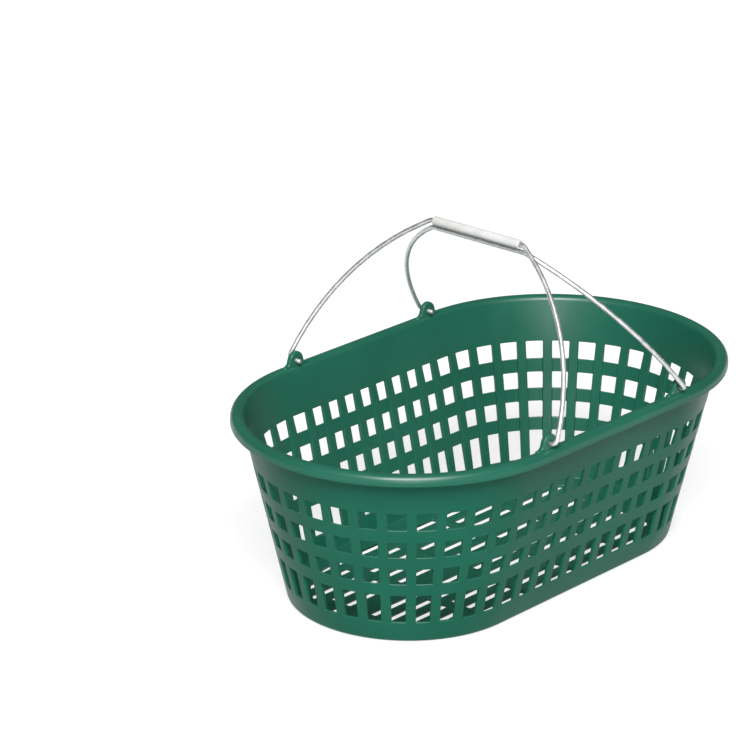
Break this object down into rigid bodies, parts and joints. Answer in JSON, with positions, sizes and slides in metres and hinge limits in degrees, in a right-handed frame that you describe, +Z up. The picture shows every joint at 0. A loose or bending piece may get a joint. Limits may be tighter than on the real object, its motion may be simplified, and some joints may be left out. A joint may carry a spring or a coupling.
{
  "type": "garden basket",
  "caption": "Oval moulded-plastic harvest basket with a square-mesh wall and slotted floor, carried by hinged wire bails that meet at a sleeved grip and fold down onto the lip.",
  "frame": {"origin": "on the ground under the middle of the basket", "axes": "+X along the basket towards the long bail's lugs, +Y across it towards the back, +Z up"},
  "size_m": [0.5458, 0.3344, 0.3368],
  "materials": {
    "basket_plastic": "green polyethylene, satin as moulded",
    "bail_wire": "bright galvanised steel wire",
    "grip_plastic": "pale smooth plastic tube"
  },
  "bodies": {
    "basket": {"rim": "basket_plastic", "upper_band": "basket_plastic", "upper_hoop": "basket_plastic", "middle_hoop": "basket_plastic", "lower_hoop": "basket_plastic", "base_band": "basket_plastic", "foot_ring": "basket_plastic", "floor_bars": "basket_plastic", "floor_cross_bars": "basket_plastic", "front_ribs": "basket_plastic", "back_ribs": "basket_plastic", "left_end_ribs": "basket_plastic", "right_end_ribs": "basket_plastic", "front_left_lug": "basket_plastic", "front_right_lug": "basket_plastic", "back_left_lug": "basket_plastic", "back_right_lug": "basket_plastic"},
    "short_bail": {"short_bail": "bail_wire"},
    "long_bail": {"long_bail": "bail_wire"},
    "grip_sleeve": {"grip_sleeve": "grip_plastic"}
  },
  "joints": [
    {"name": "short_bail_swing", "type": "hinge", "parent": "basket", "child": "short_bail", "pos_m": [-0.095, 0, 0.1888], "axis": [0, -1, 0], "range_deg": [0, 119.5]},
    {"name": "long_bail_swing", "type": "hinge", "parent": "basket", "child": "long_bail", "pos_m": [0.095, 0, 0.1888], "axis": [0, 1, 0], "range_deg": [0, 128.8]},
    {"name": "sleeve_turn", "type": "hinge", "parent": "short_bail", "child": "grip_sleeve", "pos_m": [-0.01367, 0, 0.33236], "axis": [0, 1, 0], "continuous": true}
  ]
}
